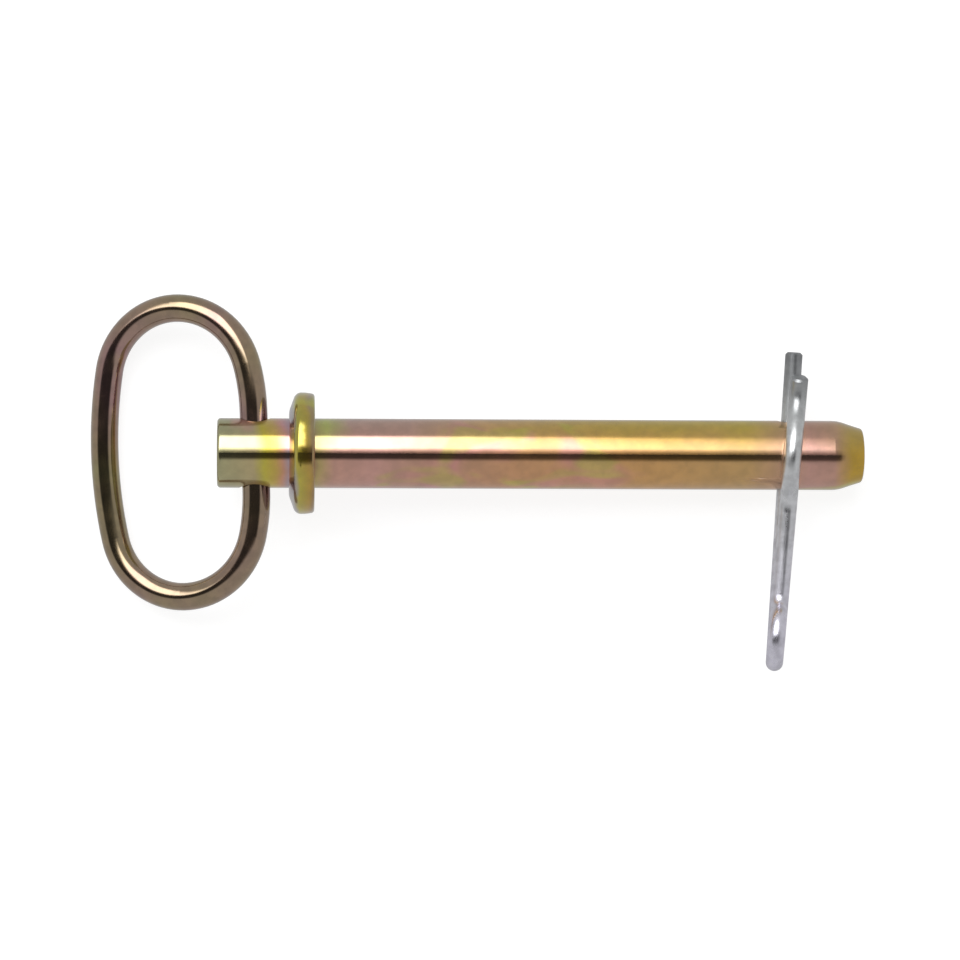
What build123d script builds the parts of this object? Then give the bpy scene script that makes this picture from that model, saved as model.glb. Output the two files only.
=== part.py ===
"""Hitch pin: a collared pin with a swinging oval handle ring and a hairpin clip through its tip.

The pin lies on its side on a flat floor, as it comes to rest: on the collar's rim and on the
edge where the tip's taper starts. +X runs along the pin towards the tip, +Z is up, and the
origin is the centre of the collar's bearing face. Millimetres.
"""

import os
from math import asin, atan2, cos, degrees, hypot, radians, sin, sqrt, tan

from build123d import *

# --- pin -------------------------------------------------------------------------------
SHANK_DIAMETER = 15.875
BEARING_FACE_TO_CLIP_HOLE = 108.3
CLIP_HOLE_TO_TIP = 17.0
TAPER_LENGTH = 5.7
TIP_DIAMETER = 12.2
TIP_EDGE_ROUND = 0.7
TAPER_BLEND = 8.0  # rounding between the shank and the taper
COLLAR_DIAMETER = 27.7
COLLAR_THICKNESS = 5.8
COLLAR_CROWN = 0.35  # how far the rim swells between the collar's two faces
COLLAR_SHOULDER_DEPTH = 1.5  # of the handle side's sloping shoulder, along the pin
COLLAR_SHOULDER_HEIGHT = 4.2  # of that shoulder, in from the rim
COLLAR_HANDLE_SIDE_ROUND = 1.8
COLLAR_SHOULDER_FOOT_ROUND = 4.0
COLLAR_TIP_SIDE_ROUND = 0.8
STUB_LENGTH = 16.3
STUB_EDGE_ROUND = 0.8
COLLAR_TO_HANDLE_HOLE = 7.75

# --- handle ring -----------------------------------------------------------------------
RING_ROD_DIAMETER = 6.35
RING_WIDTH = 36.9  # between the rod's centre lines, outwards from the pin
RING_LENGTH = 66.1  # between the rod's centre lines, across the pin
RING_STRAIGHT = 18.0  # straight run through the pin
RING_NEAR_BEND = 45.0  # bend of the side that runs through the pin
RING_FAR_BEND = 100.0  # bend of the side that the hand pulls
RING_BUTT_GAP = 0.4  # between the rod's two ends, inside the hole
RING_SLID = 0.8  # along its hole, from centred

# --- hairpin clip ----------------------------------------------------------------------
WIRE_DIAMETER = 3.96875
LEG_PAST_PIN_AXIS = 23.6  # straight leg's end
CURVED_LEG_PAST_PIN_AXIS = 18.7  # curved leg's end
EYE_PAST_PIN_AXIS = 49.3  # outside of the eye
EYE_BEND = 5.8
NECK_BEND = 4.5  # where the eye runs into the curved leg
WAIST_BEND = 8.0  # on each side of the shank
HUG_ANGLE = 46.0  # how far the curved leg reaches round the shank, each way
FLARE_ANGLE = 25.0
CURVED_LEG_LEAN = 1.45  # sideways, away from the straight leg
CLIP_ROLL = 6.9  # of the whole clip about its straight leg, back towards the collar
WIRE_END_CHAMFER = 0.5

# --- fits ------------------------------------------------------------------------------
RING_HOLE_CLEARANCE = 0.397  # all round the ring's rod
CLIP_HOLE_CLEARANCE = 0.595  # all round the clip's wire
CLIP_TO_SHANK_GAP = 0.3
ASKEW = 0.8  # share of the play that the rod and the wire take up in their holes

shank_radius = SHANK_DIAMETER / 2
collar_radius = COLLAR_DIAMETER / 2
ring_rod_radius = RING_ROD_DIAMETER / 2
wire_radius = WIRE_DIAMETER / 2
ring_askew = ASKEW * degrees(atan2(2 * RING_HOLE_CLEARANCE, SHANK_DIAMETER))
clip_askew = ASKEW * degrees(atan2(2 * CLIP_HOLE_CLEARANCE, SHANK_DIAMETER))

tip_end = BEARING_FACE_TO_CLIP_HOLE + CLIP_HOLE_TO_TIP
taper_start = tip_end - TAPER_LENGTH
stub_end = -COLLAR_THICKNESS - STUB_LENGTH
handle_hole = -COLLAR_THICKNESS - COLLAR_TO_HANDLE_HOLE

taper_angle = atan2(shank_radius - TIP_DIAMETER / 2, TAPER_LENGTH)
crown_radius = (COLLAR_THICKNESS**2 / 4 + COLLAR_CROWN**2) / (2 * COLLAR_CROWN)
collar_edge_radius = collar_radius - COLLAR_CROWN

# The floor is tangent to two arcs, the collar's crown and the taper's blend: the line from one
# centre to the other falls by centre_slope, and the difference of their radii adds to it.
blend_centre = (taper_start - TAPER_BLEND * tan(taper_angle / 2), shank_radius - TAPER_BLEND)
crown_centre = (-COLLAR_THICKNESS / 2, collar_radius - crown_radius)
shoulder_x = COLLAR_SHOULDER_DEPTH - COLLAR_THICKNESS
shoulder_y = crown_centre[1] + sqrt(crown_radius**2 - (shoulder_x - crown_centre[0]) ** 2)
shoulder_foot = collar_radius - COLLAR_SHOULDER_HEIGHT
centre_run = blend_centre[0] - crown_centre[0]
centre_rise = blend_centre[1] - crown_centre[1]
centre_slope = atan2(centre_rise, centre_run)
tilt = asin((crown_radius - TAPER_BLEND) / hypot(centre_run, centre_rise)) - centre_slope
floor_depth = blend_centre[0] * sin(tilt) + blend_centre[1] * cos(tilt) + TAPER_BLEND

along_pin = Vector(cos(tilt), 0, -sin(tilt))
pin_plane = Plane(origin=(0, 0, 0), x_dir=along_pin, z_dir=(0, -1, 0))


def write(part, name):
    """Label a finished piece and write its STEP file."""
    part.label = name
    export_step(part, f"parts/{name}.step")


def end_bend(side_bend, straight):
    """Radius of an oval's end, and how far its side turns, for a side of a given bend."""
    half_width = RING_WIDTH / 2
    half_length = (RING_LENGTH - straight) / 2
    sagitta = 2 * side_bend * half_width - half_width**2
    radius = (sagitta - half_length**2) / (2 * (side_bend - half_length))
    turn = degrees(atan2(half_length - radius, side_bend - half_width))
    return radius, turn


def turned(direction, about, angle):
    """A direction turned about another one by some degrees."""
    return direction.rotate(Axis((0, 0, 0), about), angle)


os.makedirs("parts", exist_ok=True)

# --- pin: stub, collar, shank and tapered tip in one piece -------------------------------
with BuildPart() as pin:
    with BuildSketch(pin_plane) as rod_half:
        with BuildLine():
            Polyline(
                (stub_end, 0),
                (stub_end, shank_radius),
                (taper_start, shank_radius),
                (tip_end, TIP_DIAMETER / 2),
                (tip_end, 0),
                close=True,
            )
        make_face()
        fillet(rod_half.vertices().group_by(Axis.X)[0].sort_by(Axis.Y)[-1], STUB_EDGE_ROUND)
        fillet(rod_half.vertices().group_by(Axis.X)[-1].sort_by(Axis.Y)[-1], TIP_EDGE_ROUND)
        fillet(rod_half.vertices().sort_by_distance((taper_start, shank_radius))[0], TAPER_BLEND)
    revolve(axis=Axis((0, 0, 0), along_pin))

    with BuildSketch(pin_plane) as collar_half:
        with BuildLine():
            ThreePointArc(
                (shoulder_x, shoulder_y),
                (-COLLAR_THICKNESS / 2, collar_radius),
                (0, collar_edge_radius),
            )
            Polyline(
                (0, collar_edge_radius),
                (0, 0),
                (-COLLAR_THICKNESS, 0),
                (-COLLAR_THICKNESS, shoulder_foot),
                (shoulder_x, shoulder_y),
            )
        make_face()
        handle_side = collar_half.vertices().sort_by_distance((shoulder_x, shoulder_y))[0]
        fillet(handle_side, COLLAR_HANDLE_SIDE_ROUND)
        foot = collar_half.vertices().sort_by_distance((-COLLAR_THICKNESS, shoulder_foot))[0]
        fillet(foot, COLLAR_SHOULDER_FOOT_ROUND)
        tip_side = collar_half.vertices().sort_by_distance((0, collar_edge_radius))[0]
        fillet(tip_side, COLLAR_TIP_SIDE_ROUND)
    revolve(axis=Axis((0, 0, 0), along_pin))

    with BuildSketch(pin_plane):
        with Locations((handle_hole, 0)):
            Circle(ring_rod_radius + RING_HOLE_CLEARANCE)
        with Locations((BEARING_FACE_TO_CLIP_HOLE, 0)):
            Circle(wire_radius + CLIP_HOLE_CLEARANCE)
    extrude(amount=COLLAR_DIAMETER, both=True, mode=Mode.SUBTRACT)
write(pin.part, "pin")

# --- handle ring: one bent rod, drooping until its far side lies on the floor -------------
far_reach = RING_FAR_BEND + (RING_WIDTH - RING_FAR_BEND) * cos(radians(ring_askew))
hinge_point = pin_plane.from_local_coords((handle_hole, 0, 0))
droop = asin((hinge_point.Z + floor_depth - ring_rod_radius) / far_reach)
ring_plane = Plane(
    origin=hinge_point + Vector(0, RING_SLID, 0),
    x_dir=(-cos(droop), 0, -sin(droop)),
    z_dir=(-sin(droop), 0, cos(droop)),
).rotated((0, 0, ring_askew))

near_end_bend, near_turn = end_bend(RING_NEAR_BEND, RING_STRAIGHT)
far_end_bend, far_turn = end_bend(RING_FAR_BEND, 0)
middle = RING_WIDTH / 2
near_end = RING_LENGTH / 2 - near_end_bend
far_end = RING_LENGTH / 2 - far_end_bend
run_end = RING_STRAIGHT / 2

with BuildPart() as handle_ring:
    with BuildLine(ring_plane) as ring_path:
        Line((0, RING_BUTT_GAP / 2), (0, run_end))
        CenterArc((RING_NEAR_BEND, run_end), RING_NEAR_BEND, 180, -near_turn)
        CenterArc((middle, near_end), near_end_bend, 180 - near_turn, near_turn - 90)
        CenterArc((middle, far_end), far_end_bend, 90, far_turn - 90)
        CenterArc((RING_WIDTH - RING_FAR_BEND, 0), RING_FAR_BEND, far_turn, -2 * far_turn)
        CenterArc((middle, -far_end), far_end_bend, -far_turn, far_turn - 90)
        CenterArc((middle, -near_end), near_end_bend, -90, near_turn - 90)
        CenterArc((RING_NEAR_BEND, -run_end), RING_NEAR_BEND, 180 + near_turn, -near_turn)
        Line((0, -run_end), (0, -RING_BUTT_GAP / 2))
    ring_wire = ring_path.wire()
    with BuildSketch(Plane(origin=ring_wire @ 0, z_dir=ring_wire % 0)):
        Circle(ring_rod_radius)
    sweep(path=ring_wire)
write(handle_ring.part, "handle_ring")

# --- hairpin clip: straight leg through the pin, eye, and curved leg over the shank -------
# Both planes of the clip stand on the back of the eye: x runs towards the free ends, and y
# rises off the straight leg. The wire turns from one plane into the other where it is upright.
pin_axis_reach = EYE_PAST_PIN_AXIS - wire_radius
hug_bend = shank_radius / cos(radians(CLIP_ROLL)) + CLIP_TO_SHANK_GAP + wire_radius
hug_sine, hug_cosine = sin(radians(HUG_ANGLE)), cos(radians(HUG_ANGLE))
flare_sine, flare_cosine = sin(radians(FLARE_ANGLE)), cos(radians(FLARE_ANGLE))
waist_offset = (hug_bend + WAIST_BEND) * hug_sine
bend_height = (hug_bend + WAIST_BEND) * hug_cosine
waist_height = bend_height - WAIST_BEND
near_waist = pin_axis_reach - waist_offset
far_waist = pin_axis_reach + waist_offset
neck_height = waist_height + NECK_BEND
neck_rise = neck_height - EYE_BEND
neck_run = sqrt((EYE_BEND + NECK_BEND) ** 2 - neck_rise**2)
neck_angle = degrees(atan2(neck_rise, neck_run))
flare_start = far_waist + WAIST_BEND * flare_sine
flare_height = bend_height - WAIST_BEND * flare_cosine
flare_end = pin_axis_reach + CURVED_LEG_PAST_PIN_AXIS - wire_radius * flare_sine
flare_rise = (flare_end - flare_start) * flare_sine / flare_cosine

clip_hole_point = pin_plane.from_local_coords((BEARING_FACE_TO_CLIP_HOLE, 0, 0))
straight_run = turned(Vector(0, 1, 0), pin_plane.y_dir, -clip_askew)
clip_up = turned(pin_plane.y_dir, straight_run, -CLIP_ROLL)
curved_run = turned(straight_run, clip_up, -CURVED_LEG_LEAN)
eye_back = clip_hole_point - straight_run * pin_axis_reach
straight_plane = Plane(origin=eye_back, x_dir=straight_run, z_dir=straight_run.cross(clip_up))
curved_plane = Plane(origin=eye_back, x_dir=curved_run, z_dir=curved_run.cross(clip_up))

with BuildPart() as hairpin_clip:
    with BuildLine(straight_plane) as straight_leg:
        Line((pin_axis_reach + LEG_PAST_PIN_AXIS, 0), (EYE_BEND, 0))
        CenterArc((EYE_BEND, EYE_BEND), EYE_BEND, 270, -90)
    with BuildLine(curved_plane) as curved_leg:
        CenterArc((EYE_BEND, EYE_BEND), EYE_BEND, 180, neck_angle - 180)
        CenterArc((EYE_BEND + neck_run, neck_height), NECK_BEND, 180 + neck_angle, 90 - neck_angle)
        Line((EYE_BEND + neck_run, waist_height), (near_waist, waist_height))
        CenterArc((near_waist, bend_height), WAIST_BEND, 270, HUG_ANGLE)
        CenterArc((pin_axis_reach, 0), hug_bend, 90 + HUG_ANGLE, -2 * HUG_ANGLE)
        CenterArc((far_waist, bend_height), WAIST_BEND, 270 - HUG_ANGLE, HUG_ANGLE + FLARE_ANGLE)
        Line((flare_start, flare_height), (flare_end, flare_height + flare_rise))
    clip_wire = Wire([*straight_leg.edges(), *curved_leg.edges()])
    with BuildSketch(Plane(origin=clip_wire @ 0, z_dir=clip_wire % 0)):
        Circle(wire_radius)
    sweep(path=clip_wire)
    wire_ends = hairpin_clip.faces().filter_by(GeomType.PLANE)
    chamfer(wire_ends.edges(), WIRE_END_CHAMFER)
write(hairpin_clip.part, "hairpin_clip")
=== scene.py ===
"""Looks of the hitch pin: yellow-chromate steel pin and handle ring, bright zinc hairpin clip."""

from math import radians, tan

import bpy
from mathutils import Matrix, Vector


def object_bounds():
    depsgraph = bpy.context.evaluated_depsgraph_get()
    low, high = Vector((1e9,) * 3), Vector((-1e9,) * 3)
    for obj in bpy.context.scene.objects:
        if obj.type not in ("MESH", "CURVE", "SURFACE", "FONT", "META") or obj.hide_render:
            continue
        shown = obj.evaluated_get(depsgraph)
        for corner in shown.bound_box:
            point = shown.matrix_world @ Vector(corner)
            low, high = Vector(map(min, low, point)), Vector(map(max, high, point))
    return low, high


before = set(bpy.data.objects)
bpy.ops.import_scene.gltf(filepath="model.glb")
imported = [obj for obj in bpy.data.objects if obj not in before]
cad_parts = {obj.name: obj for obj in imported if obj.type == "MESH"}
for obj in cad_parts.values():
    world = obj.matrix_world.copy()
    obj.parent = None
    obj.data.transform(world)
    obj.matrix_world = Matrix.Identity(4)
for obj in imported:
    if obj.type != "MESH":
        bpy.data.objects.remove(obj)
cad_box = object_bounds()

PIN_TILT = radians(2.79)  # the pin's axis dips towards its tip

CAMERA_HEIGHT = 0.957
FRAME_WIDTH = 0.2187  # what the view spans at the pin's height
SENSOR_WIDTH = 36.0
CAMERA_ROLL = radians(0.23)
CAMERA_CLIP_END = 10.0
AIM_OFFSET = (0.0010, 0.0005)  # from the middle of the part's box

# Colours along the pin, as (millimetres from the bearing face, linear colour).
LOW_SIDE_COLOURS = [  # its -Y side
    (-22.0, (0.50, 0.47, 0.27)),
    (-14.5, (0.56, 0.46, 0.26)),
    (-11.8, (0.66, 0.58, 0.13)),
    (-9.4, (0.72, 0.52, 0.17)),
    (-7.6, (0.74, 0.41, 0.27)),
    (-6.0, (0.50, 0.36, 0.38)),
    (-5.0, (0.46, 0.42, 0.44)),
    (-4.0, (0.62, 0.54, 0.14)),
    (-1.4, (0.60, 0.40, 0.13)),
    (-0.4, (0.40, 0.27, 0.15)),
    (0.8, (0.56, 0.44, 0.20)),
    (4.5, (0.70, 0.42, 0.34)),
    (14.0, (0.74, 0.44, 0.38)),
    (24.0, (0.62, 0.38, 0.28)),
    (45.0, (0.74, 0.43, 0.26)),
    (75.0, (0.76, 0.46, 0.22)),
    (98.0, (0.68, 0.45, 0.22)),
    (112.0, (0.66, 0.40, 0.34)),
    (119.0, (0.66, 0.40, 0.32)),
    (123.0, (0.66, 0.44, 0.11)),
]
HIGH_SIDE_COLOURS = [  # its +Y side
    (-22.0, (0.46, 0.46, 0.27)),
    (-14.5, (0.48, 0.42, 0.26)),
    (-12.0, (0.60, 0.50, 0.10)),
    (-9.4, (0.70, 0.50, 0.20)),
    (-7.6, (0.72, 0.40, 0.38)),
    (-6.0, (0.46, 0.34, 0.40)),
    (-5.0, (0.42, 0.40, 0.46)),
    (-4.0, (0.56, 0.52, 0.13)),
    (-1.4, (0.56, 0.44, 0.12)),
    (-0.4, (0.42, 0.32, 0.20)),
    (0.8, (0.48, 0.46, 0.18)),
    (3.0, (0.56, 0.60, 0.20)),
    (8.0, (0.58, 0.40, 0.34)),
    (22.0, (0.60, 0.40, 0.33)),
    (38.0, (0.70, 0.46, 0.24)),
    (60.0, (0.66, 0.48, 0.15)),
    (98.0, (0.66, 0.52, 0.13)),
    (112.0, (0.62, 0.38, 0.30)),
    (119.0, (0.60, 0.40, 0.26)),
    (123.0, (0.56, 0.42, 0.15)),
]
PIN_START = -0.0225  # metres along the pin where its colour ramps begin
PIN_SPAN = 0.1480  # metres that they cover
SIDE_BLEND = 0.007  # metres across, from the middle, over which the sides blend
PIN_WANDER = 0.006  # metres by which the ramps' places wander
SIDE_WANDER = 1.2  # the line between the sides wanders this many times as far
PINK = (0.80, 0.40, 0.40)
OLIVE = (0.60, 0.60, 0.13)
PIN_SATURATION = 1.2

RING_COLOURS = [  # (noise value, colour)
    (0.30, (0.36, 0.34, 0.19)),
    (0.42, (0.36, 0.29, 0.19)),
    (0.52, (0.38, 0.28, 0.22)),
    (0.60, (0.42, 0.28, 0.27)),
    (0.70, (0.38, 0.35, 0.17)),
]
RING_SATURATION = 1.35

CLIP_EYE_Y, CLIP_LEG_END_Y = -0.047, 0.024  # where the clip's colour ramp begins and ends
CLIP_COLOURS_AND_END_SHADE = [  # (share of the way, colour), from the eye to the straight leg's end, whose dark last stop is painted shade
    (0.0, (0.86, 0.84, 0.95)),
    (0.35, (0.84, 0.84, 0.88)),
    (0.85, (0.80, 0.82, 0.82)),
    (1.0, (0.36, 0.37, 0.38)),
]

CHROMATE_COAT = 0.9
COAT_ROUGHNESS = 0.06
COAT_IOR = 1.85
NOISE_LOW, NOISE_HIGH = 0.3, 0.7  # the part of a noise's range that is used

FLOOR_HALF_WIDTH = 1.5
FLOOR_COLOUR = (0.34, 0.34, 0.34, 1.0)
FLOOR_ROUGHNESS = 0.9
FLOOR_GLOW = 0.84
WHITE = (1.0, 1.0, 1.0, 1.0)

WALL_LIGHT = 0.50
BOX_LIGHT = 2.9
PATCH_SHADE = 0.46
LEAST_LIGHT = 0.03
HORIZON = 0.001  # lowest height in the sky that is used, since others are divided by it


# --- node helpers ------------------------------------------------------------------------
def new_tree(owner):
    """Empty node tree of a material or world."""
    owner.use_nodes = True
    tree = owner.node_tree
    tree.nodes.clear()
    return tree


def put(socket, value):
    """Link an output into a socket, or set the socket's own value."""
    if isinstance(value, bpy.types.NodeSocket):
        socket.id_data.links.new(value, socket)
    else:
        socket.default_value = value


def maths(tree, operation, first, second):
    node = tree.nodes.new("ShaderNodeMath")
    node.operation = operation
    put(node.inputs[0], first)
    put(node.inputs[1], second)
    return node.outputs[0]


def smooth_range(tree, value, low, high, to_low=0.0, to_high=1.0):
    """Smooth step from to_low at low up or down to to_high at high."""
    node = tree.nodes.new("ShaderNodeMapRange")
    node.interpolation_type = "SMOOTHSTEP"
    for socket, number in zip(node.inputs, (value, low, high, to_low, to_high)):
        put(socket, number)
    return node.outputs[0]


def noise(tree, where, scale, detail=2.0, roughness=0.5, distortion=0.0):
    node = tree.nodes.new("ShaderNodeTexNoise")
    put(node.inputs["Vector"], where)
    node.inputs["Scale"].default_value = scale
    node.inputs["Detail"].default_value = detail
    node.inputs["Roughness"].default_value = roughness
    node.inputs["Distortion"].default_value = distortion
    return node.outputs["Fac"]


def noise_range(tree, field, to_low, to_high):
    """A noise spread over a range of values."""
    return smooth_range(tree, field, NOISE_LOW, NOISE_HIGH, to_low, to_high)


def mix_colour(tree, factor, first, second, blend="MIX"):
    node = tree.nodes.new("ShaderNodeMix")
    node.data_type = "RGBA"
    node.blend_type = blend
    put(node.inputs["Factor"], factor)
    for name, value in (("A", first), ("B", second)):
        socket = next(s for s in node.inputs if s.name == name and s.type == "RGBA")
        put(socket, value if isinstance(value, bpy.types.NodeSocket) else (*value, 1.0))
    return next(s for s in node.outputs if s.type == "RGBA")


def mottled(tree, colour, field, darkest, lightest):
    """A colour made darker and lighter by a noise."""
    mottle = noise_range(tree, field, darkest, lightest)
    return mix_colour(tree, 1.0, colour, mottle, "MULTIPLY")


def ramp(tree, factor, stops):
    """Colour ramp through (place, colour) stops."""
    node = tree.nodes.new("ShaderNodeValToRGB")
    put(node.inputs["Fac"], factor)
    elements = node.color_ramp.elements
    while len(elements) < len(stops):
        elements.new(1.0)
    for element, (place, colour) in zip(elements, stops):
        element.position = place
        element.color = (*colour, 1.0)
    return node.outputs["Color"]


def saturate(tree, colour, amount):
    node = tree.nodes.new("ShaderNodeHueSaturation")
    node.inputs["Saturation"].default_value = amount
    put(node.inputs["Color"], colour)
    return node.outputs["Color"]


def turned_coordinates(tree, angle, scale=(1.0, 1.0, 1.0)):
    """Object coordinates turned about Y and scaled, so that X runs along a piece."""
    where = tree.nodes.new("ShaderNodeTexCoord")
    turn = tree.nodes.new("ShaderNodeMapping")
    turn.inputs["Rotation"].default_value = (0.0, angle, 0.0)
    turn.inputs["Scale"].default_value = scale
    put(turn.inputs["Vector"], where.outputs["Object"])
    return turn.outputs["Vector"]


def split(tree, vector):
    node = tree.nodes.new("ShaderNodeSeparateXYZ")
    put(node.inputs[0], vector)
    return node.outputs


def bump(tree, height, distance, strength, normal=None):
    """Bump of a height, in metres, on top of an earlier one if given."""
    node = tree.nodes.new("ShaderNodeBump")
    put(node.inputs["Height"], height)
    node.inputs["Distance"].default_value = distance
    node.inputs["Strength"].default_value = strength
    if normal is not None:
        put(node.inputs["Normal"], normal)
    return node.outputs["Normal"]


def metal(tree, colour, roughness, normal, coat=0.0):
    """Metal shader of the piece, with a clear coat if asked, to the material's output."""
    shader = tree.nodes.new("ShaderNodeBsdfPrincipled")
    shader.inputs["Metallic"].default_value = 1.0
    shader.inputs["Coat Weight"].default_value = coat
    shader.inputs["Coat Roughness"].default_value = COAT_ROUGHNESS
    shader.inputs["Coat IOR"].default_value = COAT_IOR
    put(shader.inputs["Base Color"], colour)
    put(shader.inputs["Roughness"], roughness)
    put(shader.inputs["Normal"], normal)
    output = tree.nodes.new("ShaderNodeOutputMaterial")
    put(output.inputs["Surface"], shader.outputs[0])


# --- materials ---------------------------------------------------------------------------
def surface_grain(tree, where, along):
    """Bump of plated bar: slow swell, marks stretched as `along` is, and fine grain."""
    grain = noise(tree, where, 900.0, detail=3.0)
    marks = noise(tree, along, 260.0, detail=4.0, roughness=0.6)
    swell = noise(tree, where, 90.0, detail=1.0)
    normal = bump(tree, swell, 0.00006, 0.5)
    normal = bump(tree, marks, 0.000012, 0.6, normal)
    return bump(tree, grain, 0.000006, 0.5, normal)


def pin_chromate():
    """Iridescent yellow chromate of the pin: colour drifts along it and across it."""
    material = bpy.data.materials.new("pin_yellow_chromate")
    tree = new_tree(material)
    where = turned_coordinates(tree, -PIN_TILT)
    along = turned_coordinates(tree, -PIN_TILT, (0.06, 1.0, 1.0))
    x, y, _ = split(tree, where)

    drift = noise(tree, where, 70.0, detail=3.0)
    wander = maths(tree, "MULTIPLY", maths(tree, "SUBTRACT", drift, 0.5), PIN_WANDER)
    place = maths(tree, "ADD", x, wander)
    share = maths(tree, "DIVIDE", maths(tree, "SUBTRACT", place, PIN_START), PIN_SPAN)

    def along_pin(colours):
        """Ramp through colours given by their millimetres along the pin."""
        stops = [((mm / 1000 - PIN_START) / PIN_SPAN, colour) for mm, colour in colours]
        return ramp(tree, share, stops)

    low_side = along_pin(LOW_SIDE_COLOURS)
    high_side = along_pin(HIGH_SIDE_COLOURS)
    side = maths(tree, "ADD", y, maths(tree, "MULTIPLY", wander, SIDE_WANDER))
    side = smooth_range(tree, side, 0.0, SIDE_BLEND)
    colour = mix_colour(tree, side, low_side, high_side)

    patches = noise(tree, where, 52.0, distortion=0.4)
    pink = smooth_range(tree, patches, 0.56, 0.70, 0.0, 0.55)
    colour = mix_colour(tree, pink, colour, PINK)
    shifted = turned_coordinates(tree, -PIN_TILT, (0.7, 1.0, 1.3))
    patches = noise(tree, shifted, 75.0, distortion=0.6)
    olive = smooth_range(tree, patches, 0.58, 0.70, 0.0, 0.5)
    colour = mix_colour(tree, olive, colour, OLIVE)
    colour = saturate(tree, colour, PIN_SATURATION)
    colour = mottled(tree, colour, noise(tree, where, 300.0, detail=4.0), 0.9, 1.06)

    roughness = noise_range(tree, noise(tree, along, 180.0, detail=4.0), 0.13, 0.21)
    metal(tree, colour, roughness, surface_grain(tree, where, along), CHROMATE_COAT)
    return material


def ring_chromate():
    """The handle ring's chromate: browner and glossier, with olive and mauve drifts."""
    material = bpy.data.materials.new("ring_yellow_chromate")
    tree = new_tree(material)
    where = turned_coordinates(tree, 0.0)
    colour = ramp(tree, noise(tree, where, 34.0, distortion=0.3), RING_COLOURS)
    colour = saturate(tree, colour, RING_SATURATION)
    colour = mottled(tree, colour, noise(tree, where, 380.0, detail=4.0), 0.85, 1.08)
    roughness = noise_range(tree, noise(tree, where, 240.0, detail=4.0), 0.10, 0.17)
    metal(tree, colour, roughness, surface_grain(tree, where, where), CHROMATE_COAT)
    return material


def clip_zinc():
    """Bright zinc over drawn spring wire, with a faint blue-violet bloom at the eye, and painted
    shade that darkens the straight leg's end.
    """
    material = bpy.data.materials.new("clip_bright_zinc")
    tree = new_tree(material)
    where = turned_coordinates(tree, 0.0)
    along = turned_coordinates(tree, 0.0, (1.0, 0.08, 1.0))
    _, y, _ = split(tree, where)
    share = smooth_range(tree, y, CLIP_EYE_Y, CLIP_LEG_END_Y)
    # the ramp's last stop darkens the straight leg's end as painted shade
    colour = ramp(tree, share, CLIP_COLOURS_AND_END_SHADE)
    colour = mottled(tree, colour, noise(tree, where, 420.0, detail=5.0), 0.82, 1.08)
    roughness = noise_range(tree, noise(tree, along, 300.0, detail=4.0), 0.24, 0.40)
    grain = noise(tree, where, 1200.0, detail=3.0)
    marks = noise(tree, along, 500.0, detail=4.0, roughness=0.6)
    normal = bump(tree, grain, 0.00001, 0.5, bump(tree, marks, 0.00002, 0.6))
    metal(tree, colour, roughness, normal)
    return material


def dress(node, material):
    """Give a CAD node its one material."""
    mesh = bpy.data.objects[node].data
    mesh.materials.clear()
    mesh.materials.append(material)


# --- surroundings ------------------------------------------------------------------------
def add_floor(height):
    """White floor that the part lies on. It glows, and reflections leave it out."""
    half = FLOOR_HALF_WIDTH
    corners = [(-half, -half), (half, -half), (half, half), (-half, half)]
    mesh = bpy.data.meshes.new("floor")
    mesh.from_pydata([(x, y, height) for x, y in corners], [], [(0, 1, 2, 3)])
    floor = bpy.data.objects.new("floor", mesh)
    bpy.context.scene.collection.objects.link(floor)
    material = bpy.data.materials.new("floor_white")
    tree = new_tree(material)
    shader = tree.nodes.new("ShaderNodeBsdfPrincipled")
    shader.inputs["Base Color"].default_value = FLOOR_COLOUR
    shader.inputs["Roughness"].default_value = FLOOR_ROUGHNESS
    shader.inputs["Specular IOR Level"].default_value = 0.0
    shader.inputs["Emission Color"].default_value = WHITE
    shader.inputs["Emission Strength"].default_value = FLOOR_GLOW
    output = tree.nodes.new("ShaderNodeOutputMaterial")
    put(output.inputs["Surface"], shader.outputs[0])
    mesh.materials.append(material)
    floor.visible_glossy = False


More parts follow.
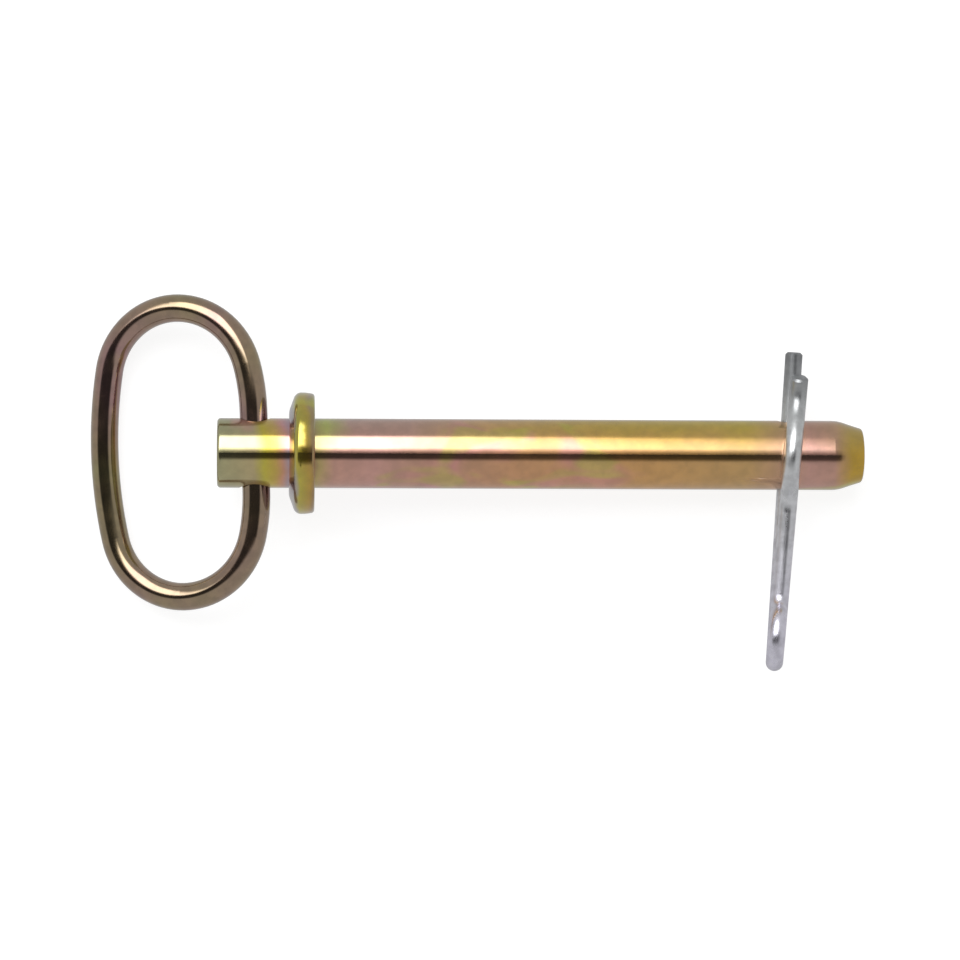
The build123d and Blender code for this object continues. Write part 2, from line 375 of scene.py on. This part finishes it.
def add_studio():
    """Studio light: grey all round, a soft box overhead to +Y, a dark patch straight above."""
    world = bpy.data.worlds.new("studio")
    bpy.context.scene.world = world
    tree = new_tree(world)
    where = tree.nodes.new("ShaderNodeTexCoord")
    x, y, z = split(tree, where.outputs["Generated"])
    height = maths(tree, "MAXIMUM", z, HORIZON)
    across = maths(tree, "DIVIDE", x, height)
    over = maths(tree, "DIVIDE", y, height)

    def window(value, low, high, low_soft, high_soft):
        """1 between two angles in degrees, with soft edges, and 0 outside."""
        rise = smooth_range(
            tree, value, tan(radians(low - low_soft)), tan(radians(low + low_soft))
        )
        fall = smooth_range(
            tree, value, tan(radians(high - high_soft)), tan(radians(high + high_soft)), 1.0, 0.0
        )
        return maths(tree, "MULTIPLY", rise, fall)

    box_over = window(over, 14, 57, 5, 6)
    box = maths(tree, "MULTIPLY", box_over, window(across, -46, 9, 7, 6))
    patch_over = window(over, -20, 11, 6, 8)
    patch = maths(tree, "MULTIPLY", patch_over, window(across, -55, 34, 8, 8))
    light = maths(tree, "ADD", WALL_LIGHT, maths(tree, "MULTIPLY", box, BOX_LIGHT))
    light = maths(tree, "SUBTRACT", light, maths(tree, "MULTIPLY", patch, PATCH_SHADE))
    light = maths(tree, "MAXIMUM", light, LEAST_LIGHT)
    background = tree.nodes.new("ShaderNodeBackground")
    background.inputs["Color"].default_value = WHITE
    put(background.inputs["Strength"], light)
    output = tree.nodes.new("ShaderNodeOutputWorld")
    put(output.inputs["Surface"], background.outputs[0])


def add_camera(box):
    """Camera that looks straight down on the part."""
    low, high = (Vector(corner) for corner in box)
    middle = (low + high) / 2
    data = bpy.data.cameras.new("camera")
    data.sensor_width = SENSOR_WIDTH
    data.lens = SENSOR_WIDTH * CAMERA_HEIGHT / FRAME_WIDTH
    data.clip_end = CAMERA_CLIP_END
    camera = bpy.data.objects.new("camera", data)
    camera.location = (middle.x + AIM_OFFSET[0], middle.y + AIM_OFFSET[1], CAMERA_HEIGHT)
    camera.rotation_euler = (0.0, 0.0, CAMERA_ROLL)
    bpy.context.scene.collection.objects.link(camera)
    bpy.context.scene.camera = camera


bpy.context.scene.view_settings.view_transform = "Standard"
dress("pin", pin_chromate())
dress("handle_ring", ring_chromate())
dress("hairpin_clip", clip_zinc())
add_floor(cad_box[0][2])
add_studio()
add_camera(cad_box)
